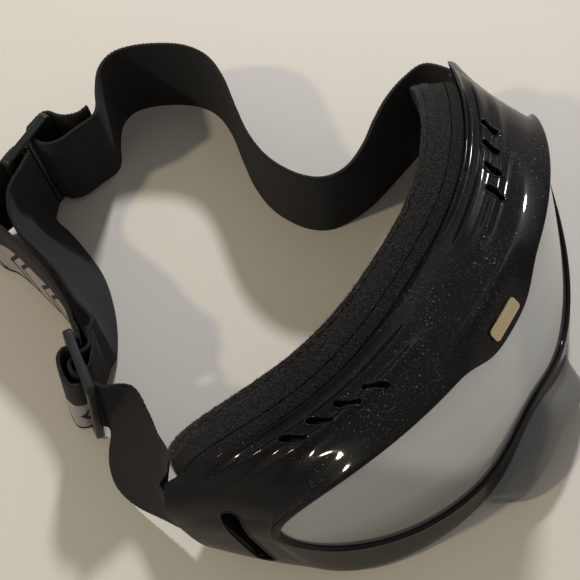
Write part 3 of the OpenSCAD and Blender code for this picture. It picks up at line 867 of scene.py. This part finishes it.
def webbing(name, path, start):
    """Elastic webbing on its route, with rounded selvedges and small weft loops along them."""
    rows = spline_rows(np.array(path, float).transpose(1, 0, 2), 12).transpose(1, 0, 2)
    s, at = resample(rows, WEB_STEP)
    s[..., 2] = np.maximum(s[..., 2], 0)
    up = s[:, 1] - s[:, 0]
    along = np.gradient(s.mean(1), axis=0)
    for _ in range(2):
        along[1:-1] = (along[:-2] + 2 * along[1:-1] + along[2:]) / 4
    across = unit(np.cross(along, up))
    up = unit(up)
    profile = webbing_profile()
    n, m = len(s), len(profile)
    run = at + start
    beat = run * 2 * pi / PICK_STEP
    # only the outer 0.8 mm at each edge follows the weft loops
    off = profile[:, 0] - STRAP_W / 2
    near_edge = np.clip((np.abs(off) - (STRAP_W / 2 - 0.8)) / 0.8, 0, 1)
    loops = LOOP_H * np.sin(beat) - LOOP_H
    h = profile[None, :, 0] + np.sign(off)[None] * near_edge[None] * loops[:, None]
    t = profile[None, :, 1] * (1 + 0.04 * np.sin(beat + 1))[:, None]
    p = s[:, 0][:, None] + up[:, None] * h[..., None] + across[:, None] * t[..., None]
    p[..., 2] = np.maximum(p[..., 2], 0.0)
    p[..., 1] -= MID_Y
    # the map runs in decimetres, and the face on the plus side lies one higher
    face = np.where(profile[:, 1] > 0, 1.0, 0.0)
    uv = np.stack([np.broadcast_to(run[:, None], (n, m)) / 100, h / 100 + face], -1)
    return outward(new_object(name, p.reshape(-1, 3), capped_faces(n, m), uv=uv.reshape(-1, 2)))


# Materials

BACKDROP = (0.6, 0.56, 0.495)
ROOM = (0.345, 0.335, 0.325)
SOCKETS = {"color": "Base Color", "rough": "Roughness", "metal": "Metallic", "spec": "Specular IOR Level",
           "ior": "IOR", "coat": "Coat Weight", "coat_rough": "Coat Roughness", "coat_ior": "Coat IOR",
           "sheen": "Sheen Weight", "sheen_rough": "Sheen Roughness", "sheen_tint": "Sheen Tint",
           "normal": "Normal", "coat_normal": "Coat Normal", "glass": "Transmission Weight"}
MIX_SOCKETS = {"FLOAT": (2, 0), "VECTOR": (4, 1), "RGBA": (6, 2)}


class Shader:
    """The node tree of a material or the world, with short calls for its nodes."""

    def __init__(self, owner):
        owner.use_nodes = True
        self.owner = owner
        self.tree = owner.node_tree

    def put(self, socket, value):
        if isinstance(value, bpy.types.NodeSocket):
            self.tree.links.new(value, socket)
        elif socket.type == "RGBA":
            socket.default_value = (*value, 1)
        else:
            socket.default_value = value

    def node(self, kind, inputs=None, **settings):
        n = self.tree.nodes.new(kind)
        for key, value in settings.items():
            setattr(n, key, value)
        for key, value in (inputs or {}).items():
            self.put(n.inputs[key], value)
        return n

    def math(self, op, *values, clamp=False):
        return self.node("ShaderNodeMath", dict(enumerate(values)), operation=op, use_clamp=clamp).outputs[0]

    def mul(self, a, b):
        return self.math("MULTIPLY", a, b)

    def add(self, a, b):
        return self.math("ADD", a, b)

    def linear(self, value, slope, start, clamp=False):
        return self.math("MULTIPLY_ADD", value, slope, start, clamp=clamp)

    def above(self, value, limit):
        return self.math("GREATER_THAN", value, limit)

    def below(self, value, limit):
        return self.math("LESS_THAN", value, limit)

    def vector(self, op, *values):
        outputs = self.node("ShaderNodeVectorMath", dict(enumerate(values)), operation=op).outputs
        return outputs["Value" if op == "LENGTH" else "Vector"]

    def spread(self, value, start, end, low=0.0, high=1.0, kind="LINEAR"):
        """Low up to start and high from end on, with the way between them of the given kind."""
        given = {"Value": value, "From Min": start, "From Max": end, "To Min": low, "To Max": high}
        return self.node("ShaderNodeMapRange", given, interpolation_type=kind).outputs[0]

    def mix(self, f, a, b, kind="RGBA", blend="MIX"):
        first, out = MIX_SOCKETS[kind]
        given = {0: f, first: a, first + 1: b}
        return self.node("ShaderNodeMix", given, data_type=kind, blend_type=blend).outputs[out]

    def ramp(self, value, stops):
        n = self.node("ShaderNodeValToRGB", {0: value})
        elements = n.color_ramp.elements
        while len(elements) < len(stops):
            elements.new(0.5)
        for element, (at, color) in zip(elements, stops):
            element.position = at
            element.color = (*color, 1)
        return n.outputs[0]

    def coords(self, kind="Object"):
        return self.node("ShaderNodeTexCoord").outputs[kind]

    def stretched(self, place, x, y, z):
        return self.node("ShaderNodeMapping", {"Vector": place, "Scale": (x, y, z)}).outputs[0]

    def noise(self, place, scale, detail=2.0, rough=0.5, out="Fac"):
        given = {"Vector": place, "Scale": scale, "Detail": detail, "Roughness": rough}
        return self.node("ShaderNodeTexNoise", given).outputs[out]

    def cells(self, place, scale):
        return self.node("ShaderNodeTexVoronoi", {"Vector": place, "Scale": scale}).outputs

    def split(self, place):
        return self.node("ShaderNodeSeparateXYZ", {0: place}).outputs

    def bump(self, height, strength, distance, normal=None):
        n = self.node("ShaderNodeBump", {"Height": height, "Strength": strength, "Distance": distance})
        if normal is not None:
            self.put(n.inputs["Normal"], normal)
        return n.outputs[0]

    def set(self, **sockets):
        bsdf = self.tree.nodes["Principled BSDF"]
        for key, value in sockets.items():
            self.put(bsdf.inputs[SOCKETS[key]], value)
        return self.owner


def material(name):
    s = Shader(bpy.data.materials.new(name))
    return s, s.coords()


def flakes(s, p, z, pick):
    """Faint fine flakes and a few bold ones, in patches that end lower on the mask."""
    mid = s.cells(p, 2300)
    bold = s.mul(s.above(s.split(mid["Color"])[1], 0.987), s.below(mid["Distance"], 0.3))
    patch = s.mul(s.spread(z, 0.055, 0.072), s.linear(s.noise(p, 60), 3.2, -1.1, clamp=True))
    both = s.math("MAXIMUM", s.mul(s.above(pick, 0.955), 0.07), s.mul(bold, 0.42))
    return s.math("MULTIPLY", both, patch, clamp=True)


def frame_material():
    """Black gloss with flakes, each at its own slant, under a coat that shines most at the brow."""
    s, p = material("frame_gloss")
    _, y, z = s.split(p)
    fine = s.cells(p, 4200)["Color"]
    pick = s.split(fine)
    flake = flakes(s, p, z, pick[0])
    tint = s.mix(pick[2], (0.62, 0.68, 0.8), (0.9, 0.86, 0.8))
    base = s.mix(s.noise(p, 14), (0.0032, 0.0031, 0.0034), (0.0056, 0.0053, 0.0053))
    plain = s.node("ShaderNodeNewGeometry").outputs["Normal"]
    tilt = s.vector("SUBTRACT", fine, (0.5,) * 3)
    slanted = s.vector("NORMALIZE", s.vector("MULTIPLY_ADD", tilt, (1.5,) * 3, plain))
    normal = s.mix(flake, plain, slanted, kind="VECTOR")
    rough = s.mix(flake, s.linear(s.noise(p, 900), 0.06, 0.3), 0.28, kind="FLOAT")
    coat = s.spread(s.add(z, s.mul(y, 0.3)), 0.066, 0.074, 0.4, 0.65)
    coat_normal = s.bump(s.noise(p, 220, 2, 0.6), 0.05, 0.0004)
    return s.set(color=s.mix(flake, base, tint), metal=s.mul(flake, 0.95), rough=rough, spec=0.035,
                 normal=normal, coat=coat, coat_rough=0.05, coat_ior=1.4, coat_normal=coat_normal)


def mirror_material():
    """Silver mirror with a painted reflection, darker towards its lower edge and a little darker again at the
    top, with a faint haze and a few specks of dust.
    """
    s, p = material("lens_mirror")
    height = s.spread(s.split(p)[2], 0.015, 0.085)
    # painted reflection: dark low down where the lens mirrors the shaded table, lighter in the middle, darker
    # again under the brow
    tone = s.ramp(height, [(0.0, (0.2, 0.2, 0.197)), (0.2, (0.24, 0.243, 0.244)), (0.4, (0.43, 0.46, 0.475)),
                           (0.72, (0.5, 0.535, 0.56)), (1.0, (0.4, 0.425, 0.445))])
    haze = s.noise(p, 45, 3, 0.6)
    color = s.mix(s.mul(haze, 0.10), tone, (0.45, 0.44, 0.42))
    dust = s.cells(p, 900)
    speck = s.mul(s.below(dust["Distance"], 0.12), s.above(s.split(dust["Color"])[0], 0.9))
    rough = s.add(s.linear(haze, 0.03, 0.06), s.mul(speck, 0.12))
    normal = s.bump(s.noise(p, 9, 1), 0.02, 0.001)
    return s.set(color=color, metal=0.52, rough=rough, normal=normal, coat=0.3, coat_rough=0.02)


def inner_lens_material():
    s, p = material("lens_clear")
    haze = s.noise(p, 70, 3)
    color = s.mix(haze, (0.50, 0.52, 0.52), (0.58, 0.6, 0.59))
    return s.set(color=color, metal=0.0, rough=s.linear(haze, 0.08, 0.04), glass=0.85, ior=1.5, spec=0.5)


def foam_material(name, tone, pore, painted_glint):
    """Open cells of two sizes with painted shade in their pores and lighter rims, and a share of cells with
    painted glints.
    """
    s, p = material(name)
    warped = s.vector("MULTIPLY_ADD", s.noise(p, 500, out="Color"), (0.0006,) * 3, p)
    small = s.cells(p, pore * 2.3)
    depth = s.add(s.cells(warped, pore)["Distance"], s.mul(small["Distance"], 0.5))
    # painted shade: the colour darkens towards the middle of each cell, where the bump sinks a pore, and
    # lightens towards its rim
    pore_shade = tuple(c * 0.35 for c in tone)
    light = (tone[0] * 2.3, tone[1] * 2.3, tone[2] * 2.35)
    pick = s.split(small["Color"])
    clouds = s.mix(s.noise(p, 30, 3), (0.8,) * 3, (1.25,) * 3)
    color = s.mix(1.0, s.ramp(depth, [(0.15, pore_shade), (0.75, tone), (1.0, light)]), clouds, blend="MULTIPLY")
    # painted glints: a share of the small cells is lightened in colour
    color = s.mix(s.mul(s.above(pick[0], 0.965), painted_glint), color, (0.09, 0.09, 0.095))
    normal = s.bump(depth, 0.9, 0.0006, s.bump(s.noise(p, 1500, 3), 0.5, 0.0003))
    return s.set(color=color, rough=s.linear(pick[1], -0.25, 0.95), spec=0.08, sheen=0.04, sheen_rough=0.5,
                 sheen_tint=(0.55, 0.55, 0.58), normal=normal)


def fibre_material():
    s, p = material("fleece_fibre")
    pick = s.split(s.cells(p, 1400)["Color"])
    color = s.mix(pick[0], (0.014, 0.0133, 0.0127), (0.07, 0.066, 0.063))
    return s.set(color=color, rough=0.75, spec=0.3, sheen=0.5, sheen_rough=0.5, sheen_tint=(0.7, 0.68, 0.66))


def skirt_material():
    s, p = material("skirt_satin")
    color = s.mix(s.noise(p, 25, 3), (0.055, 0.055, 0.052), (0.072, 0.0715, 0.068))
    rough = s.linear(s.noise(p, 120, 3), 0.18, 0.24)
    normal = s.bump(s.noise(p, 1800, 2, 0.7), 0.15, 0.0001)
    return s.set(color=color, rough=rough, spec=0.5, coat=0.9, coat_rough=0.1, coat_ior=1.6, normal=normal)


def slider_material():
    s, p = material("slider_plastic")
    color = s.mix(s.noise(p, 40, 3), (0.008, 0.0083, 0.0078), (0.016, 0.0165, 0.0155))
    rough = s.add(s.mul(s.noise(p, 300, 4, 0.7), 0.2), 0.24)
    normal = s.bump(s.noise(p, 2400, 2, 0.6), 0.2, 0.00008)
    return s.set(color=color, rough=rough, spec=0.2, coat=0.12, coat_rough=0.1, normal=normal)


def brushed_metal(name, scales, dark, light, rough, relief):
    s, p = material(name)
    lines = s.noise(s.stretched(p, *scales), 1.0, 3, 0.6)
    normal = s.bump(lines, relief, 0.00005)
    return s.set(color=s.mix(lines, dark, light), metal=1.0, rough=s.linear(lines, 0.2, rough), normal=normal)


def badge_material():
    dark, light = (0.40, 0.325, 0.2), (0.60, 0.515, 0.35)
    return brushed_metal("plate_champagne", (60, 4000, 4000), dark, light, 0.16, 0.15)


def steel_material():
    dark, light = (0.22, 0.22, 0.23), (0.42, 0.42, 0.42)
    return brushed_metal("bar_steel", (1200, 1200, 60), dark, light, 0.25, 0.2)


CORD, PICK = 0.95, 0.85
PATTERN_LOW, PATTERN_H, PATTERN_PERIOD, PATTERN_POINT = 2.4, 20.5, 17.0, 13.0


def strap_material(name, printed):
    """Ribbed elastic webbing, plain or printed, with painted shade in the weave's grooves, on the map that
    each piece of webbing has.
    """
    s, p = material(name)
    u, v, _ = s.split(s.node("ShaderNodeUVMap", uv_map="cloth").outputs[0])
    # cords run along the strap and weft picks across it, every second row shifted
    cords = s.math("SINE", s.mul(v, 2 * pi * 100 / CORD))
    shift = s.mul(s.math("SIGN", cords), 0.25)
    picks = s.math("SINE", s.mul(s.add(s.mul(u, 100 / PICK), shift), 2 * pi))
    weave = s.add(s.mul(s.math("ABSOLUTE", cords), 0.6), s.mul(picks, 0.4))
    fuzz = s.noise(p, 1600, 3, 0.6)
    # painted shade: the colour follows the weave's height, as the bump does, darkest in the grooves between
    # cords and picks and lightest on their tops
    stops = [(0.0, (0.0075, 0.0072, 0.0072)), (0.55, (0.018, 0.0172, 0.0168)), (1.0, (0.036, 0.034, 0.0325))]
    dark = s.ramp(s.linear(weave, 0.5, 0.3), stops)
    color = s.mix(s.mul(s.noise(p, 35, 3), 0.5), dark, (0.026, 0.0247, 0.0238))
    if printed:
        # the print takes the same painted shade from the weave
        pale = s.mix(s.linear(weave, 0.35, 0.4), (0.30, 0.255, 0.25), (0.48, 0.42, 0.41))
        color = s.mix(printed_pattern(s, u, v), color, pale)
    normal = s.bump(s.add(weave, s.mul(fuzz, 0.7)), 0.75, 0.00022)
    return s.set(color=color, rough=s.linear(fuzz, 0.15, 0.78), spec=0.1, sheen=0.12, sheen_rough=0.45,
                 sheen_tint=(0.5, 0.49, 0.5), normal=normal)


def printed_pattern(s, u, v):
    """A row of pale chevrons, a broad and a narrow one in turn, along the lower half of the outer face."""
    height = s.mul(s.math("FRACT", v), 100.0)
    run = s.mul(u, 100.0)
    tall = s.math("DIVIDE", s.math("SUBTRACT", height, PATTERN_LOW), PATTERN_H)
    bent = s.mul(s.math("ABSOLUTE", s.math("SUBTRACT", tall, 0.5)), PATTERN_POINT)
    share = s.math("FRACT", s.math("DIVIDE", s.add(run, bent), PATTERN_PERIOD))
    narrow = s.mul(s.above(share, 0.68), s.below(share, 0.88))
    shape = s.math("MAXIMUM", s.below(share, 0.56), narrow)
    rows = s.mul(s.above(tall, 0.0), s.below(tall, 1.0))
    outer_face = s.below(v, 0.9)
    return s.mul(s.mul(shape, rows), outer_face)


def seen_rays(s):
    """Whether a ray comes straight from the camera, and whether it is mirrored or seen through glass."""
    path = s.node("ShaderNodeLightPath").outputs
    return path["Is Camera Ray"], s.math("MAXIMUM", path["Is Glossy Ray"], path["Is Transmission Ray"])


def floor_material():
    """Pale table top that goes over into the backdrop's colour far from the object."""
    s, p = material("table_top")
    base = s.mix(s.noise(p, 5, 3), (0.585, 0.545, 0.478), (0.63, 0.59, 0.525))
    grain = s.noise(p, 700, 4, 0.65)
    color = s.mix(s.mul(grain, 0.25), base, (0.53, 0.495, 0.43))
    s.set(color=color, rough=0.62, spec=0.3, normal=s.bump(grain, 0.12, 0.0002))
    far = s.spread(s.vector("LENGTH", p), 0.38, 0.85, kind="SMOOTHSTEP")
    share = s.mul(far, s.math("MAXIMUM", *seen_rays(s)))
    top = s.tree.nodes["Principled BSDF"].outputs[0]
    glow = s.node("ShaderNodeEmission", {"Color": BACKDROP}).outputs[0]
    both = s.node("ShaderNodeMixShader", {0: share, 1: top, 2: glow}).outputs[0]
    s.put(s.tree.nodes["Material Output"].inputs["Surface"], both)
    return s.owner


# Build


def paint(obj, mat):
    obj.data.materials.clear()
    obj.data.materials.append(mat)


def part(obj, body, mat, slot, *nodes, bend=None):
    """Paints a piece and fixes it to its body. Webbing given two places of bend is not fixed to a body:
    its transform is baked into its points, and the two places are worked out but not used."""
    paint(obj, mat)
    if bend is None:
        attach(obj, body)
    if nodes:
        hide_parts(*nodes)
    if bend is not None:
        start, end = ([x / 1000, (y - MID_Y) / 1000, STRAP_W / 2000] for x, y in bend)
        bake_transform(obj)
        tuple(start)
        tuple(end)


M_FRAME = frame_material()
M_FOAM = foam_material("foam_cells", (0.0125, 0.0118, 0.0112), 1900, 0.3)
M_BASE = foam_material("foam_base_cells", (0.011, 0.0104, 0.01), 2100, 0.2)
M_FLEECE = foam_material("fleece_cells", (0.0135, 0.0127, 0.012), 1500, 0.3)
M_FIBRE = fibre_material()
M_PLAIN = strap_material("webbing_plain", False)
M_PRINT = strap_material("webbing_printed", True)
M_SLIDER = slider_material()
INNER_AT = LENS_SET + LENS_T + LENS_GAP

shell, lips = make_frame()
part(shell, "mask", M_FRAME, "frame", "frame_shell")
part(lips, "mask", M_FRAME, "frame")
part(lens_piece("lens_front", LENS_SET, LENS_T), "mask", mirror_material(), "outer_lens", "outer_lens")
part(lens_piece("lens_rear", INNER_AT, INNER_T), "mask", inner_lens_material(), "inner_lens", "inner_lens")
part(spacer(), "mask", M_BASE, "foam", "lens_spacer")
part(make_skirt(), "mask", skirt_material(), "skirt", "nose_skirt")
part(make_badge(), "mask", badge_material(), "badge", "badge_plate")
for name, a, b, mat, node, slot, rough in (
        ("foam_base", 0.0, BASE_SHARE, M_BASE, "face_foam_base", "foam", 0.14),
        ("foam_mid", BASE_SHARE + 0.02, 1 - FLEECE_SHARE, M_FOAM, "face_foam_mid", "foam", 0.22),
        ("foam_fleece", 1 - FLEECE_SHARE + 0.02, 1.0, M_FLEECE, "face_fleece", "fleece", 0.3)):
    piece = foam_piece(name, a, b, rough)
    part(piece, "mask", mat, slot, node)
part(pile("fleece_pile", 26000, 0.8, 0.04), "mask", M_FIBRE, "fleece")
for row, v0, v1, side, front in (
        ("brow_{}_left", 110, 136, 1, 0.25),
        ("chin_{}_left", 222, 250, -1, 0.5),
        ("brow_{}_right", 44, 70, 1, 0.25),
        ("chin_{}_right", 290, 318, -1, 0.5)):
    piece = vent_foam(row.format("filter"), v0, v1, side, front)
    part(piece, "mask", M_FOAM, "foam", row.format("vent_foam"))
for side in ("left", "right"):
    paint(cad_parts[f"strap_bar_{side}"], steel_material())

for name, route, mat, body, node, start, bend in (
        ("web_far", FAR, M_PLAIN, "joiner", "strap_far", 0.0, ((40, 150), (19, 190))),
        ("web_near", NEAR, M_PLAIN, "adjuster", "strap_near", 0.0, ((-90, 104), (-80, 126))),
        ("web_hump", HUMP, M_PRINT, "adjuster", "strap_hump", 62.0, None),
        ("web_outer", OUTER, M_PRINT, "adjuster", "strap_outer_layer", 96.0, ((-46, 172), (-60, 147))),
        ("web_inner", INNER, M_PLAIN, "adjuster", "strap_inner_layer", 0.0, ((-29.9, 162.4), (-50, 143.5)))):
    part(webbing(name, route, start), body, mat, "webbing", node, bend=bend)

part(make_slider("slider_joining", A_AT, A_DIR), "joiner", M_SLIDER, "slider", "slider_a")
part(make_slider("slider_adjusting", B_AT, B_DIR, B_LEAN), "adjuster", M_SLIDER, "slider", "slider_b")

# Stage and light


def stage():
    bpy.ops.mesh.primitive_plane_add(size=8, location=(0, 0, -0.0002))
    floor = bpy.context.object
    floor.name = "table"
    paint(floor, floor_material())


def room_light():
    """The backdrop's colour where it is seen or mirrored low down, and the room's softer one elsewhere."""
    world = bpy.data.worlds.new("world")
    bpy.context.scene.world = world
    s = Shader(world)
    low = s.spread(s.split(s.coords("Generated"))[2], 0.2, 0.45, 1.0, 0.0)
    camera, mirrored = seen_rays(s)
    backdrop = s.math("MAXIMUM", camera, s.mul(mirrored, low))
    background = s.tree.nodes["Background"]
    s.put(background.inputs["Color"], s.mix(backdrop, ROOM, BACKDROP))
    s.put(background.inputs["Strength"], 1.0)


def area(name, at, size, power, color):
    """Round lamp that shines on the frame's origin."""
    data = bpy.data.lights.new(name, "AREA")
    data.shape = "DISK"
    data.size = size
    data.energy = power
    data.color = color
    lamp = add_object(name, data)
    lamp.location = at
    lamp.rotation_mode = "QUATERNION"
    lamp.rotation_quaternion = Vector(at).to_track_quat("Z", "Y")


stage()
room_light()
area("window", (0.8, 0.4, 0.83), 0.12, 11.5, (0.93, 0.95, 1.0))
area("lamp", (-0.82, 0.62, 1.13), 0.09, 6.2, (1.0, 0.9, 0.64))
bpy.context.scene.view_settings.view_transform = "Standard"
